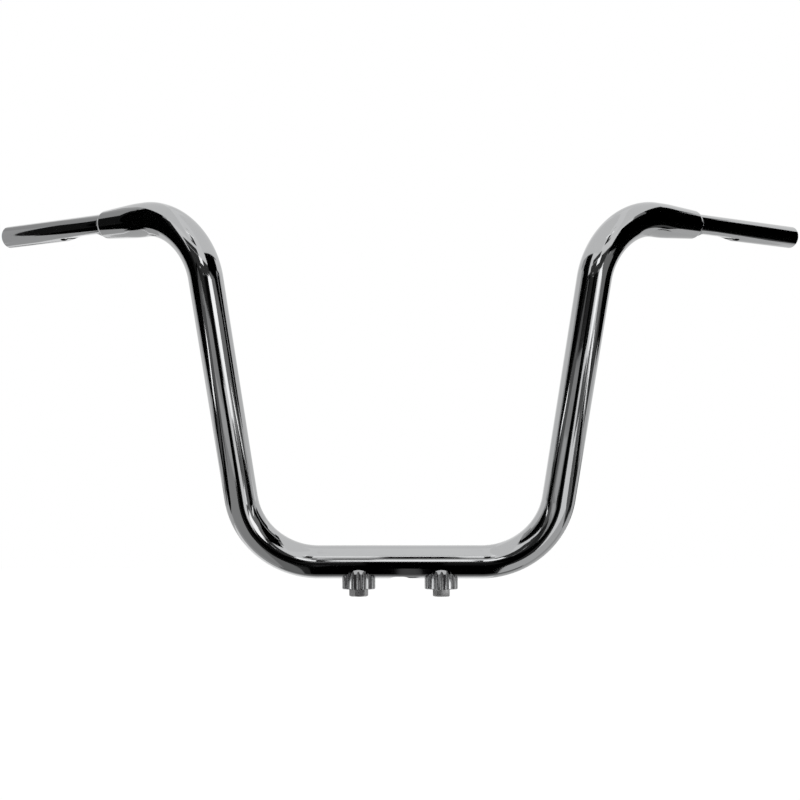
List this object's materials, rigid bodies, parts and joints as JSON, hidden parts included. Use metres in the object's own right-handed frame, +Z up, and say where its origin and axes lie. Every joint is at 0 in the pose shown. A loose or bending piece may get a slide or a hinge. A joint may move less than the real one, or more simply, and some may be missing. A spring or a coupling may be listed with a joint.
{
  "type": "ape hanger handlebar",
  "caption": "Chromed fat ape hanger handlebar with 1 in grip ends, a wire outlet and fluted bosses that bolt to the top clamp.",
  "frame": {"origin": "midway between the mounting faces of the two bosses", "axes": "+Z up along the bosses, +X to the right as seen from the front, +Y to the back, where the grips point"},
  "size_m": [0.9552, 0.1689, 0.4401],
  "materials": {
    "tube_chrome": "polished",
    "end_chrome": "polished",
    "boss_chrome": "polished",
    "bolt_chrome": "satin"
  },
  "bodies": {
    "root": {"bent_tube": "tube_chrome", "left_end_tube": "end_chrome", "right_end_tube": "end_chrome", "left_boss": "boss_chrome", "right_boss": "boss_chrome", "left_bolt": "bolt_chrome", "right_bolt": "bolt_chrome"}
  },
  "joints": []
}
